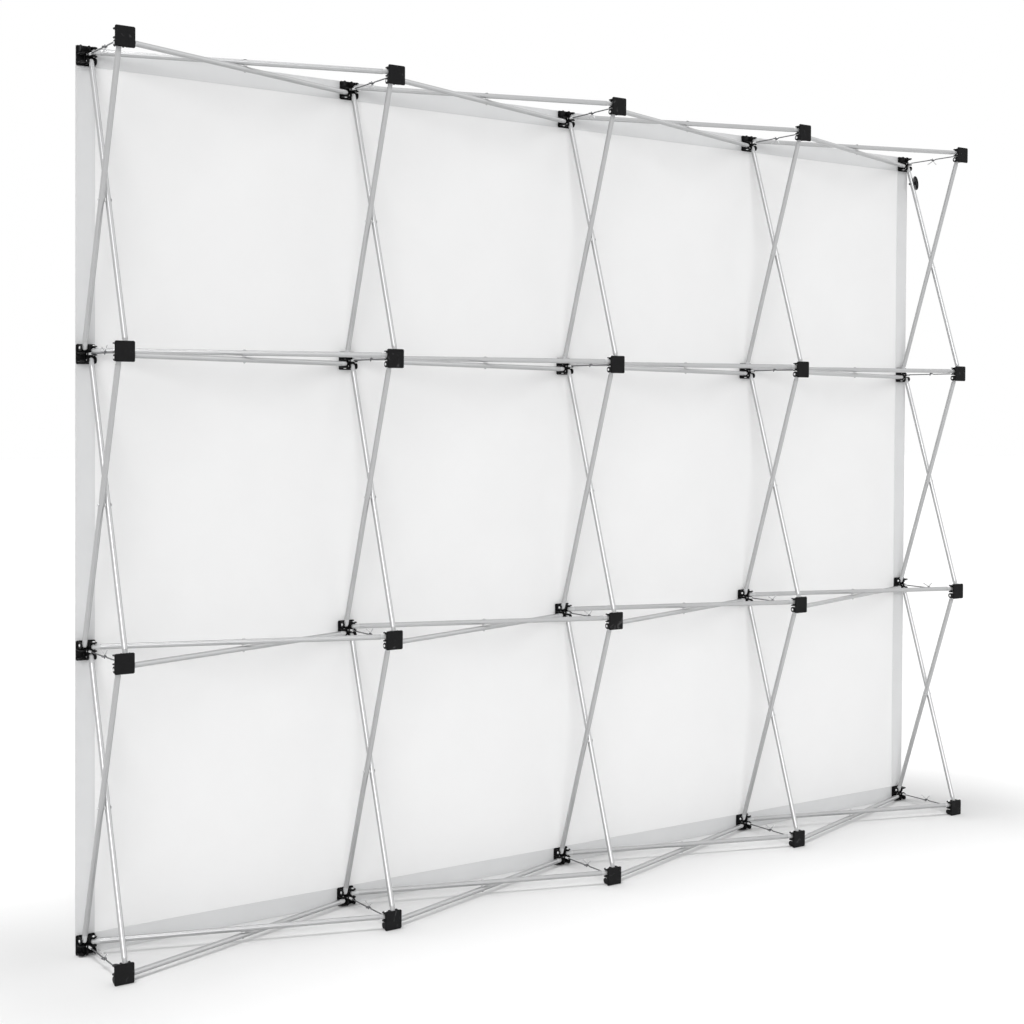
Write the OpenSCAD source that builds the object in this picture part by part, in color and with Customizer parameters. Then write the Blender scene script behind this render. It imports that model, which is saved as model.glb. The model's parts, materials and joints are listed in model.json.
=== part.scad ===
// Pop up display backwall: a straight folding frame of crossing tubes and moulded hubs, four bays wide and
// three bays high, with a plain fabric graphic held flat on its front side by hook and loop tape.
// X runs along the wall, Z is up, -Y is the back, where the frame is open, and +Y is the fabric side.
// The origin is on the floor, under the middle of the whole object.

/* [Frame] */
// Number of bays along the wall
bays = 4; // [2:1:6]
// Number of bays up the wall
rows = 3; // [1:1:4]
// Distance between neighbouring hubs, along the wall and up it
hub_pitch = 740; // [600:10:800]
// Depth of the frame over the outer faces of its back and front hubs
frame_depth = 266; // [240:2:300]

/* [Hub] */
// Width and height of a hub's square plate
plate_w = 50; // [49:0.5:56]
// Thickness of the plate
plate_t = 3; // [2:0.25:4]
// Radius of the plate's corners
plate_corner = 4; // [2:0.5:6]
// Distance of a tube's hinge pin from the hub's centre
pin_out = 15; // [14.5:0.5:17]
// Distance of a tube's hinge pin from the hub's outer face
pin_in = 17.5; // [16:0.5:19]
// Thickness of one ear of a clevis
ear_t = 3; // [2.4:0.1:3.2]
// Radius of an ear's tip round its pin
ear_r = 8.5; // [7:0.25:8.75]
// Half of an ear's width where it meets the plate
ear_base = 8.5; // [7:0.25:9]
// Height of the round boss on an ear's inner face, which the tube end turns against
ear_boss_h = 2.6; // [1.5:0.1:3]
// Diameter of that boss
ear_boss_d = 9; // [7:0.25:12]
// Clearance between a boss and the tube end beside it
ear_gap = 0.2; // [0.1:0.05:0.4]
// Thickness of the wall behind a clevis, towards the hub's centre
back_wall_t = 1.6; // [1:0.1:1.8]
// Height of that wall above the plate
back_wall_h = 11; // [6:0.5:14]

/* [Tubes] */
// Outer diameter of a tube
tube_d = 14; // [12:0.5:15]
// Wall thickness of a tube
tube_wall = 1; // [0.8:0.1:1.5]
// Thickness of the washer between two crossing tubes
washer_t = 3; // [2:0.5:4]
// Outer diameter of that washer
washer_d = 10; // [8:0.5:12]
// Diameter of the tube end plug outside the tube
plug_d = 12.6; // [11:0.2:13]
// Length of the plug between the end of the tube and the hub pin
plug_show = 16; // [13:0.5:22]
// Length of the plug's spigot inside the tube
spigot_l = 20; // [10:1:30]
// Diameter of a hub pin
pin_d = 4; // [3:0.25:5]
// Diameter of a hub pin's head
pin_head_d = 7; // [6:0.25:8]
// Height of a hub pin's head
pin_head_h = 2; // [1.2:0.1:2.4]
// Length of a hub pin's riveted tail past the inner ear
pin_tail = 0.8; // [0.4:0.1:1.2]
// Diameter of a scissor rivet
rivet_d = 4; // [3:0.25:5]
// Diameter of a scissor rivet's domed head
rivet_head_d = 9; // [7:0.5:11]
// Height of the domed head
rivet_head_h = 2.4; // [1.5:0.1:3]
// Height of the pointed nub on a scissor rivet's other end
rivet_nub_h = 3; // [2:0.25:4]

/* [Locks] */
// Distance of a lock's cross pin from the hub's outer face
lock_in = 22; // [20:0.5:24]
// Diameter of the lock's cross pin
lock_pin_d = 2.4; // [2:0.1:3]
// Diameter of the round post that holds the cross pin
post_d = 11; // [10:0.25:12]
// Width of the post over its two flats
post_flats = 8.8; // [8:0.2:9.4]
// Height of the post past the cross pin
post_over = 4; // [3:0.25:5]
// Thickness of the eye on a lock arm
eye_t = 3.6; // [3:0.1:4]
// Outer radius of that eye
eye_r = 3.4; // [3:0.1:3.6]
// Diameter of a lock arm's rod
rod_d = 3.5; // [3:0.1:3.8]
// Diameter of the ferrule on a lock arm
ferrule_d = 6; // [5:0.25:6.5]
// Length of the ferrule
ferrule_l = 12; // [8:1:16]
// Inner diameter of the ring on an eye arm
ring_bore = 8; // [7:0.25:10]
// Diameter of the ring's wire
ring_wire = 3; // [2.5:0.1:3.5]
// Clearance between the hook and the ring
hook_gap = 0.3; // [0.25:0.05:0.6]
// Length of the hook's peg below the middle of the ring
peg_l = 5; // [4:0.5:7]
// Diameter of the finger grip's wire
grip_d = 3; // [2.5:0.1:3.4]
// Height of the finger grip above the hook
grip_h = 14; // [12:0.5:18]
// Reach of the grip's long leg back along the arm
grip_aft = 17; // [12:0.5:20]
// Reach of the grip's short leg forward, over the ring
grip_fore = 18; // [12:0.5:22]
// Distance from the hook's peg back to the foot of the grip
grip_foot = 4; // [3:0.5:8]
// Distance from the hook's peg back to where its wire starts to rise
hook_rise = 14; // [12:0.5:18]

/* [Fabric side] */
// Width of the hook pad on a back hub
back_pad_w = 47; // [40:0.5:48]
// Width of the hook pad on a front hub
front_pad_w = 34; // [28:0.5:36]
// Thickness of a hook pad
pad_t = 1.6; // [1:0.1:2.5]
// Width of the loop tape border
border_w = 50; // [40:1:60]
// Thickness of the loop tape border
border_t = 1; // [0.6:0.1:1.5]
// Gap at the corners between the border's strips
border_seam = 0.5; // [0.2:0.1:1]
// Thickness of the fabric graphic
cloth_t = 0.8; // [0.5:0.1:1.5]
// Height of the fabric's lower edge above the floor
cloth_lift = 1; // [0.5:0.5:4]

/* [Strap button] */
// Diameter of the button
button_d = 49; // [40:1:55]
// Height of the button over its rim
button_h = 6; // [5:0.5:12]
// Thickness of the button's dished floor
button_floor = 2.5; // [2:0.25:3.5]
// Width of the button's rim
button_rim = 6; // [3:0.5:8]
// Width of the slope from the rim down to the dished floor
button_slope = 3; // [2:0.5:6]
// Diameter of the boss that stands on the tube
button_boss_d = 12; // [9:0.5:14]
// Distance along the tube from the front hub's pin to the button
button_down = 58; // [50:1:150]
// Turn of the button round the tube, from straight along the wall towards the back
button_turn = 32; // [0:1:60]

/* [Hidden] */
$fn = 64;

// Clearances of the pins and rivets in their holes, on the diameter
pin_play = 0.1;
plug_play = 0.2;
spigot_play = 0.1;

// Bevel of the strap button's rim, and the height of the boss it stands on
button_edge = 1.5;
button_boss_h = 3;

// A tube runs beside its neighbour, a washer apart, and the clevises follow it
arm_off = (tube_d + washer_t) / 2;
clevis_gap = plug_d + 2 * ear_gap;
ear_near = arm_off - clevis_gap / 2 - ear_boss_h - ear_t;
ear_far = arm_off + clevis_gap / 2 + ear_boss_h;
clevis_end = ear_far + ear_t;

// Planes of the frame: the whole object is centred on Y = 0
cloth_stack = border_t + cloth_t;
y_back = -frame_depth / 2 - cloth_stack / 2;
y_front = frame_depth / 2 - cloth_stack / 2;
y_pad = y_front + pad_t;
y_mid = (y_back + y_front) / 2;
wall_w = bays * hub_pitch + plate_w;
wall_h = rows * hub_pitch + plate_w;

// A tube from pin to pin, in the flat of its scissor
run_flat = hub_pitch - 2 * pin_out;
run_deep = frame_depth - 2 * pin_in;
span = norm([run_flat, run_deep]);
lean = atan2(run_deep, run_flat);

// The lock: both arms reach from their cross pins to the middle of the frame
lock_run = frame_depth - 2 * lock_in;
lock_slot = eye_t + 0.4;
hook_x = lock_run / 2;
hook_lift = (ring_wire + rod_d) / 2 + hook_gap;
ring_shift = (ring_bore - rod_d) / 2 - hook_gap;
ring_x = lock_run - hook_x - ring_shift;
ring_mid = (ring_bore + ring_wire) / 2;
ferrule_x = post_d / 2 + 2;

// The button stands out past the last column, so the wall's own middle lies a little left of X = 0
button_reach = arm_off + (tube_d / 2 + button_boss_h + button_h) * cos(button_turn)
    + (button_d / 2 - button_edge) * sin(button_turn);
x_mid = -max(0, button_reach - plate_w / 2) / 2;

function column_x(i) = x_mid + (i - bays / 2) * hub_pitch;
function level_z(j) = plate_w / 2 + j * hub_pitch;
function lock_name(kind, i, j) = str(kind, "_arm_c", i + 1, "r", j + 1);

// ---- Places ----------------------------------------------------------------------------------------------
// A hub's own frame: origin in the middle of its outer face, +Y inwards, +Z up

module at_back_hub(i, j)
    translate([column_x(i), y_back, level_z(j)]) children();

module at_front_hub(i, j)
    translate([column_x(i), y_front, level_z(j)]) rotate([0, 0, 180]) children();

// Turns a hub's right clevis into clevis q: 0 right, 1 up, 2 left, 3 down
module clevis_turn(q)
    rotate([0, -90 * q, 0]) children();

// True where a tube leaves a hub by clevis q; side is 1 on a back hub and -1 on a front hub
function has_arm(i, j, q, side) =
    q == 1 ? j < rows :
    q == 3 ? j > 0 :
    (q == 0) == (side == 1) ? i < bays : i > 0;

// A tube's own frame: origin at one pin, +X along the tube, +Z along its pins
module on_rail_a(i, j)
    translate([column_x(i) + pin_out, y_back + pin_in, level_z(j) - arm_off])
        rotate([0, 0, lean]) children();

module on_rail_b(i, j)
    translate([column_x(i) + pin_out, y_front - pin_in, level_z(j) + arm_off])
        rotate([0, 0, -lean]) children();

module on_upright_a(i, j)
    translate([column_x(i) - arm_off, y_front - pin_in, level_z(j) + pin_out])
        rotate([90, 0, 90]) rotate([0, 0, 90 + lean]) children();

module on_upright_b(i, j)
    translate([column_x(i) + arm_off, y_back + pin_in, level_z(j) + pin_out])
        rotate([90, 0, 90]) rotate([0, 0, 90 - lean]) children();

// The crossing point of a scissor: +Z runs through both tubes, from the first to the second
module at_rail_cross(i, j)
    translate([column_x(i + 0.5), y_mid, level_z(j)]) children();

module at_upright_cross(i, j)
    translate([column_x(i), y_mid, level_z(j + 0.5)]) rotate([90, 0, 90]) children();

// ---- Hub -------------------------------------------------------------------------------------------------

// A square with round corners, in the XZ plane, thickened towards +Y
module rounded_plate(w, t, r) {
    rotate([90, 0, 0]) translate([0, 0, -t]) linear_extrude(t) {
        square([w - 2 * r, w], center = true);
        square([w, w - 2 * r], center = true);
        for (x = [-1, 1], y = [-1, 1])
            translate([x, y] * (w / 2 - r)) circle(r);
    }
}

// One ear: a tapered flat that stands on the plate and ends in a round eye about the pin, a little wider than
// the flat is there
module ear(from) {
    neck = ear_r * 0.9;
    foot = plate_t / 2 - pin_in;
    translate([pin_out, pin_in, -from - ear_t]) linear_extrude(ear_t) {
        circle(ear_r);
        polygon([[ear_base, foot], [neck, 0], [-neck, 0], [-ear_base, foot]]);
    }
}

// The right clevis: two ears either side of a tube end, each with a boss towards it, and the wall that ties them
module clevis() {
    ear(ear_near);
    ear(ear_far);
    for (root = [-ear_near - ear_t - ear_boss_h, -ear_far - ear_t / 2])
        translate([pin_out, pin_in, root]) cylinder(h = ear_boss_h + ear_t / 2, d = ear_boss_d);
    translate([pin_out - ear_base, plate_t / 2, -clevis_end])
        cube([back_wall_t, back_wall_h + plate_t / 2, clevis_end - ear_near]);
}

// The slotted post in the middle, which carries the lock's cross pin
module lock_post() {
    post_h = lock_in + post_over;
    intersection() {
        rotate([-90, 0, 0]) cylinder(h = post_h, d = post_d);
        translate([-post_flats / 2, plate_t / 2, -post_d]) cube([post_flats, post_h, 2 * post_d]);
    }
}

module hub() {
    difference() {
        union() {
            rounded_plate(plate_w, plate_t, plate_corner);
            for (q = [0:3]) clevis_turn(q) clevis();
            lock_post();
        }
        for (q = [0:3]) clevis_turn(q) translate([pin_out, pin_in, -clevis_end - 1])
            cylinder(h = clevis_end - ear_near + 2, d = pin_d + pin_play);
        translate([-lock_slot / 2, lock_in - eye_r - 3, -post_d])
            cube([lock_slot, post_over + eye_r + 4, 2 * post_d]);
        translate([-post_flats, lock_in, 0]) rotate([0, 90, 0])
            cylinder(h = 2 * post_flats, d = lock_pin_d + pin_play);
    }
}

module back_hubs()
    color("#1c1c1c") for (i = [0:bays], j = [0:rows]) at_back_hub(i, j) hub();

module front_hubs()
    color("#141414") for (i = [0:bays], j = [0:rows]) at_front_hub(i, j) hub();

// ---- Tubes -----------------------------------------------------------------------------------------------

// A tube between two plugs, drilled through for the scissor rivet at its middle
module tube() {
    difference() {
        translate([plug_show, 0, 0]) rotate([0, 90, 0]) difference() {
            cylinder(h = span - 2 * plug_show, d = tube_d);
            translate([0, 0, -1]) cylinder(h = span - 2 * plug_show + 2, d = tube_d - 2 * tube_wall);
        }
        translate([span / 2, 0, -tube_d]) cylinder(h = 2 * tube_d, d = rivet_d + pin_play);
    }
}

// The place of the strap button on its tube: +Z points away from the tube, towards the button
module at_button()
    translate([span - button_down, 0, 0]) rotate([-button_turn, 0, 0]) children();

module rail_tubes_a()
    color("#d4d5d6") for (i = [0:bays - 1], j = [0:rows]) on_rail_a(i, j) tube();

module rail_tubes_b()
    color("#d4d5d6") for (i = [0:bays - 1], j = [0:rows]) on_rail_b(i, j) tube();

module upright_tubes_a()
    color("#dadbdc") for (i = [0:bays], j = [0:rows - 1]) on_upright_a(i, j) tube();

module upright_tubes_b()
    color("#dadbdc") for (i = [0:bays], j = [0:rows - 1]) on_upright_b(i, j) difference() {
        tube();
        if (i == bays && j == rows - 1)
            at_button() translate([0, 0, -tube_d]) cylinder(h = 2 * tube_d, d = rivet_d + pin_play);
    }

// A tube end plug: domed tip about the pin, a shoulder on the tube's end and a spigot inside the tube
module tube_end() {
    plug_r = plug_d / 2;
    spigot_r = tube_d / 2 - tube_wall - spigot_play / 2;
    difference() {
        rotate([0, 90, 0]) rotate_extrude() {
            intersection() {
                circle(plug_r);
                translate([0, -plug_r]) square(plug_r);
            }
            square([plug_r, plug_show]);
            square([spigot_r, plug_show + spigot_l]);
        }
        translate([0, 0, -plug_d]) cylinder(h = 2 * plug_d, d = pin_d + plug_play);
    }
}

// A plug at each end of a tube
module tube_ends() {
    tube_end();
    translate([span, 0, 0]) rotate([0, 0, 180]) tube_end();
}

module rail_tube_ends()
    color("#b9babb") for (i = [0:bays - 1], j = [0:rows]) {
        on_rail_a(i, j) tube_ends();
        on_rail_b(i, j) tube_ends();
    }

module upright_tube_ends()
    color("#c4c5c6") for (i = [0:bays], j = [0:rows - 1]) {
        on_upright_a(i, j) tube_ends();
        on_upright_b(i, j) tube_ends();
    }

// ---- Pins, rivets and washers ------------------------------------------------------------------------------

// A hub pin: its head lies on the outer ear and its tail is riveted over the inner one
module hub_pin()
    translate([pin_out, pin_in, -clevis_end]) {
        translate([0, 0, -pin_head_h]) cylinder(h = pin_head_h, d = pin_head_d);
        cylinder(h = clevis_end - ear_near + pin_tail, d = pin_d);
    }

module hub_pins()
    color("#b4b6b8") for (i = [0:bays], j = [0:rows], q = [0:3]) {
        if (has_arm(i, j, q, 1)) at_back_hub(i, j) clevis_turn(q) hub_pin();
        if (has_arm(i, j, q, -1)) at_front_hub(i, j) clevis_turn(q) hub_pin();
    }

// A scissor rivet: shank through both tubes, domed head on one side, pointed nub on the other
module scissor_rivet() {
    reach = arm_off + tube_d / 2;
    dome_r = (pow(rivet_head_d / 2, 2) + pow(rivet_head_h, 2)) / (2 * rivet_head_h);
    translate([0, 0, -reach]) cylinder(h = 2 * reach, d = rivet_d);
    translate([0, 0, reach]) rotate_extrude() intersection() {
        translate([0, rivet_head_h - dome_r]) circle(dome_r);
        square([rivet_head_d, rivet_head_h]);
    }
    translate([0, 0, -reach]) rotate_extrude()
        polygon([[0, 0], [rivet_d * 0.8, 0], [rivet_d * 0.7, -rivet_nub_h / 2], [0, -rivet_nub_h]]);
}

module rail_rivets()
    color("#9a9b9c") for (i = [0:bays - 1], j = [0:rows]) at_rail_cross(i, j) scissor_rivet();

module upright_rivets()
    color("#9a9b9c") for (i = [0:bays], j = [0:rows - 1]) at_upright_cross(i, j) scissor_rivet();

module scissor_washer()
    translate([0, 0, -washer_t / 2]) difference() {
        cylinder(h = washer_t, d = washer_d);
        translate([0, 0, -1]) cylinder(h = washer_t + 2, d = rivet_d + pin_play);
    }

module rail_washers()
    color("#e6e6e6") for (i = [0:bays - 1], j = [0:rows]) at_rail_cross(i, j) scissor_washer();

module upright_washers()
    color("#e6e6e6") for (i = [0:bays], j = [0:rows - 1]) at_upright_cross(i, j) scissor_washer();

// ---- Locks -------------------------------------------------------------------------------------------------

// The cross pin of a lock, headed on one flat of the post and riveted over on the other
module lock_pin() {
    head_h = 0.8;
    tail_h = 0.6;
    translate([-post_flats / 2 - tail_h, lock_in, 0]) rotate([0, 90, 0]) {
        cylinder(h = tail_h, d = lock_pin_d * 1.5);
        cylinder(h = post_flats + tail_h, d = lock_pin_d);
        translate([0, 0, post_flats + tail_h]) cylinder(h = head_h, d = lock_pin_d * 1.8);
    }
}

module lock_pins()
    color("#8c8d8e") for (i = [0:bays], j = [0:rows]) {
        at_back_hub(i, j) lock_pin();
        at_front_hub(i, j) lock_pin();
    }

// Wire of diameter d along points in the XY plane, with a round knuckle across each corner
module bent_wire(points, d) {
    knuckle = d + 0.2;
    for (k = [0:len(points) - 2]) {
        step = points[k + 1] - points[k];
        translate([points[k].x, points[k].y, 0]) rotate([0, 0, atan2(step.y, step.x)])
            rotate([0, 90, 0]) cylinder(h = norm(step), d = d, $fn = 24);
    }
    for (k = [1:1:len(points) - 2])
        translate([points[k].x, points[k].y, 0]) cylinder(h = knuckle, d = knuckle, center = true, $fn = 24);
}

// What both arms share, from their cross pin along +X: the eye and the ferrule crimped on the rod
module arm_root() {
    cylinder(h = eye_t, r = eye_r, center = true);
    translate([ferrule_x, 0, 0]) rotate([0, 90, 0]) cylinder(h = ferrule_l, d = ferrule_d);
}

// Bore of the eye, a running fit on the cross pin
module arm_bore()
    cylinder(h = 2 * eye_t, d = lock_pin_d + pin_play, center = true);

// The hook arm rises over the ring and turns down through it; its grip is a wide V that stands on the hook
module hook_arm() {
    rise = hook_x - hook_rise;
    difference() {
        union() {
            arm_root();
            bent_wire([[0, 0], [rise, 0], [rise + 2 * hook_lift, hook_lift],
                       [hook_x, hook_lift], [hook_x, -peg_l]], rod_d);
            bent_wire([[hook_x + grip_fore, hook_lift + grip_h * 0.7], [hook_x - grip_foot, hook_lift + 1],
                       [hook_x - grip_aft, hook_lift + grip_h]], grip_d);
        }
        arm_bore();
    }
}

// The eye arm ends in a closed ring that lies level, for the hook's peg
module eye_arm() {
    difference() {
        union() {
            arm_root();
            bent_wire([[0, 0], [ring_x - ring_mid, 0]], rod_d);
            translate([ring_x, 0, 0]) rotate([90, 0, 0]) rotate_extrude()
                translate([ring_mid, 0]) circle(d = ring_wire, $fn = 24);
        }
        arm_bore();
    }
}

// Stands an arm on its cross pin, reaching inwards; in the top row the locks are fitted upside down
module on_lock_pin(j)
    translate([0, lock_in, 0]) rotate([0, j == rows ? 180 : 0, 0]) rotate([90, 0, 90]) children();

module hook_arm_at(i, j)
    color("#4a4b4d") at_back_hub(i, j) on_lock_pin(j) hook_arm();

module eye_arm_at(i, j)
    color("#56575a") at_front_hub(i, j) on_lock_pin(j) eye_arm();

// ---- Pads, border and fabric ---------------------------------------------------------------------------------

module back_hook_pads()
    color("#2c2c2c") for (i = [0:bays], j = [0:rows])
        at_back_hub(i, j) translate([0, -pad_t, 0]) rounded_plate(back_pad_w, pad_t, plate_corner - 1);

// A hub at the edge carries the border; the others reach the fabric itself, so their pads stand taller
module front_hook_pads()
    color("#202020") for (i = [0:bays], j = [0:rows]) {
        inner = i > 0 && i < bays && j > 0 && j < rows;
        thick = inner ? pad_t + border_t : pad_t;
        at_front_hub(i, j) translate([0, -thick, 0]) rounded_plate(front_pad_w, thick, plate_corner - 1);
    }

// Four strips of loop tape round the edge of the fabric, butted at the corners
module loop_border()
    color("#d9dadb") translate([x_mid, y_pad, 0]) {
        strip_h = wall_h - cloth_lift;
        strip_w = wall_w - 2 * border_w - 2 * border_seam;
        for (side = [-1, 1])
            translate([side * (wall_w - border_w) / 2 - border_w / 2, 0, cloth_lift])
                cube([border_w, border_t, strip_h]);
        for (z = [cloth_lift, wall_h - border_w])
            translate([-strip_w / 2, 0, z]) cube([strip_w, border_t, border_w]);
    }

module graphic_cloth()
    color("#f6f6f6") translate([x_mid - wall_w / 2, y_pad + border_t, cloth_lift])
        cube([wall_w, cloth_t, wall_h - cloth_lift]);

// ---- Strap button --------------------------------------------------------------------------------------------

module on_button_tube()
    on_upright_b(bays, rows - 1) at_button() children();

// A dished round button on a short boss that stands on the tube
module strap_button()
    color("#101010") on_button_tube() translate([0, 0, tube_d / 2]) difference() {
        rotate_extrude() {
            button_r = button_d / 2;
            dish_r = button_r - button_rim;
            top = button_boss_h + button_h;
            floor_top = button_boss_h + button_floor;
            square([button_boss_d / 2, floor_top]);
            polygon([[0, button_boss_h], [dish_r, button_boss_h], [button_r, floor_top],
                     [button_r, top - button_edge], [button_r - button_edge, top],
                     [dish_r + button_edge, top], [dish_r, top - button_edge],
                     [dish_r - button_slope, floor_top], [0, floor_top]]);
        }
        translate([0, 0, -1]) cylinder(h = 2 * button_h, d = rivet_d + pin_play);
    }

// The bolt through button and tube, with its head in the dish and a nut on the tube's other side
module button_bolt()
    color("#1e1e1f") on_button_tube() {
        nut_h = 3.2;
        head_h = 2.2;
        thread_show = 0.6;
        seat = tube_d / 2 + button_boss_h + button_floor;
        translate([0, 0, -tube_d / 2 - nut_h - thread_show]) cylinder(h = thread_show + seat + tube_d / 2 + nut_h + head_h / 2, d = rivet_d);
        translate([0, 0, seat]) cylinder(h = head_h, d = rivet_d * 2);
        translate([0, 0, -tube_d / 2 - nut_h]) cylinder(h = nut_h, d = rivet_d * 2, $fn = 6);
    }

back_hubs();
front_hubs();
rail_tubes_a();
rail_tubes_b();
upright_tubes_a();
upright_tubes_b();
rail_tube_ends();
upright_tube_ends();
hub_pins();
rail_rivets();
upright_rivets();
rail_washers();
upright_washers();
back_hook_pads();
front_hook_pads();
lock_pins();
graphic_cloth();
loop_border();
strap_button();
button_bolt();
for (i = [0:bays], j = [0:rows]) {
    hook_arm_at(i, j);
    eye_arm_at(i, j);
}
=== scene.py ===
import json
import math

import bmesh
import bpy
import numpy as np
from mathutils.geometry import tessellate_polygon
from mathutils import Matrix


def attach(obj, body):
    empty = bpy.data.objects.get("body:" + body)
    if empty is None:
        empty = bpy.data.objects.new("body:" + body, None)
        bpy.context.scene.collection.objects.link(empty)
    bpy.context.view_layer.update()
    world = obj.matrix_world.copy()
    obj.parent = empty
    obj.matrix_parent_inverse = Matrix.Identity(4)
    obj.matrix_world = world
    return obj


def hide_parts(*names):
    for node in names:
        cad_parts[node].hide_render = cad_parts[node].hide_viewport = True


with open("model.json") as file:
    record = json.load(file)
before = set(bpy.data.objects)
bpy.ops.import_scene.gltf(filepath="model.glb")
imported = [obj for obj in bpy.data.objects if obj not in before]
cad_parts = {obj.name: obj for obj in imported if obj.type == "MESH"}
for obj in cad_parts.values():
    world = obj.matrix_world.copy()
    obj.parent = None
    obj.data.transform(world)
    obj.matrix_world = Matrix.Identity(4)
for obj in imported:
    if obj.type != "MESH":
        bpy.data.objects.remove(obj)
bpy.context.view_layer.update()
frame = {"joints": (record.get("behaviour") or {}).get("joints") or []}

# ---- Camera ----------------------------------------------------------------------------------------
# A long lens stands well off the open back of the wall, past its left end, and looks along it to the
# right, so that the whole wall is in the square picture with its near end at the left.
camera_data = bpy.data.cameras.new("camera")
camera = bpy.data.objects.new("camera", camera_data)
bpy.context.scene.collection.objects.link(camera)
bpy.context.scene.camera = camera
camera_data.lens = 57.13
camera_data.sensor_width = 36.0
camera_data.shift_y = -0.0672
camera_data.clip_end = 200.0
camera.location = (-2.9135, -3.8119, 1.365)
camera.rotation_euler = [math.radians(a) for a in (88.920, -0.307, -34.622)]

# ---- Studio ----------------------------------------------------------------------------------------
# A white sweep with soft light: a key from behind the camera, a weak fill from its right, a lamp overhead
# and an even ambient. The background is white by the world's and the floor's own glow, not by more light
# on the wall, and close to the wall the floor has no glow, so that it keeps the wall's shadow.
bpy.context.scene.view_settings.view_transform = "Standard"


def new_node(tree, kind, **values):
    """A shader node of that kind. A value named after an input sets it, and any other sets a property."""
    node = tree.nodes.new(kind)
    for key, value in values.items():
        if key in node.inputs:
            node.inputs[key].default_value = value
        else:
            setattr(node, key, value)
    return node


def math_node(tree, operation, *terms):
    """The result of a Math node. Each term is a number or a socket."""
    node = new_node(tree, "ShaderNodeMath", operation=operation)
    for socket, term in zip(node.inputs, terms):
        if isinstance(term, (int, float)):
            socket.default_value = term
        else:
            tree.links.new(term, socket)
    return node.outputs[0]


def carried(tree, value, spans, **kind):
    """A value carried from one span to another and held inside it. spans is (from, from, to, to)."""
    node = new_node(tree, "ShaderNodeMapRange", **kind)
    for key, number in zip(("From Min", "From Max", "To Min", "To Max"), spans):
        node.inputs[key].default_value = number
    tree.links.new(value, node.inputs["Value"])
    return node.outputs["Result"]


def seen_share(tree):
    """1 for what the camera sees, straight or in a reflection or through glass, and 0 for light."""
    path = new_node(tree, "ShaderNodeLightPath")
    either = math_node(tree, "MAXIMUM", path.outputs["Is Camera Ray"], path.outputs["Is Glossy Ray"])
    return math_node(tree, "MAXIMUM", either, path.outputs["Is Transmission Ray"])


AMBIENT = 0.28
world = bpy.data.worlds.new("studio")
bpy.context.scene.world = world
world.use_nodes = True
sky = world.node_tree
sky.nodes.clear()
sky_light = new_node(sky, "ShaderNodeBackground", Color=(1, 1, 1, 1))
sky_out = new_node(sky, "ShaderNodeOutputWorld")
sky.links.new(carried(sky, seen_share(sky), (0, 1, AMBIENT, 1)), sky_light.inputs["Strength"])
sky.links.new(sky_light.outputs["Background"], sky_out.inputs["Surface"])


def lamp(name, towards, strength, softness):
    """A distant lamp that shines along a direction. softness is its width in degrees."""
    data = bpy.data.lights.new(name, "SUN")
    data.energy = strength
    data.angle = math.radians(softness)
    obj = bpy.data.objects.new(name, data)
    bpy.context.scene.collection.objects.link(obj)
    x, y, z = towards
    obj.rotation_euler = (math.atan2(math.hypot(x, y), -z), 0, math.atan2(-x, y))


lamp("key_light", (0.50, 0.77, -0.36), 1.3, 40)
lamp("fill_light", (-0.75, 0.55, -0.35), 0.4, 60)
lamp("top_light", (0.16, 0.0, -0.98), 1.7, 22)

FLOOR_HALF = 40.0
SHADE_HALF = (1.5, 0.13, 0)
GLOW_REACH, GLOW_MOST = 0.8, 0.27
floor_mesh = bpy.data.meshes.new("floor")
corners = ((-1, -1), (1, -1), (1, 1), (-1, 1))
floor_mesh.from_pydata([(x * FLOOR_HALF, y * FLOOR_HALF, 0) for x, y in corners], [], [(0, 1, 2, 3)])
floor = bpy.data.objects.new("floor", floor_mesh)
bpy.context.scene.collection.objects.link(floor)
floor_paint = bpy.data.materials.new("floor_paint")
floor_paint.use_nodes = True
floor_tree = floor_paint.node_tree
floor_shader = floor_tree.nodes["Principled BSDF"]
floor_shader.inputs["Base Color"].default_value = (0.80, 0.80, 0.80, 1)
floor_shader.inputs["Roughness"].default_value = 0.9
floor_shader.inputs["Specular IOR Level"].default_value = 0.1
floor_shader.inputs["Emission Color"].default_value = (1, 1, 1, 1)
# How far a point is outside the rectangle that the wall stands on: the length of |place| - half, where
# that is more than nothing. The glow rises smoothly over that distance.
away = new_node(floor_tree, "ShaderNodeTexCoord").outputs["Object"]
for step in ("ABSOLUTE", "SUBTRACT", "MAXIMUM", "LENGTH"):
    node = new_node(floor_tree, "ShaderNodeVectorMath", operation=step)
    node.inputs[1].default_value = SHADE_HALF if step == "SUBTRACT" else (0, 0, 0)
    floor_tree.links.new(away, node.inputs[0])
    away = node.outputs["Value" if step == "LENGTH" else "Vector"]
glow = carried(floor_tree, away, (0, GLOW_REACH, 0, GLOW_MOST), interpolation_type="SMOOTHSTEP")
floor_tree.links.new(math_node(floor_tree, "MULTIPLY", seen_share(floor_tree), glow),
                     floor_shader.inputs["Emission Strength"])
floor_mesh.materials.append(floor_paint)

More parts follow.
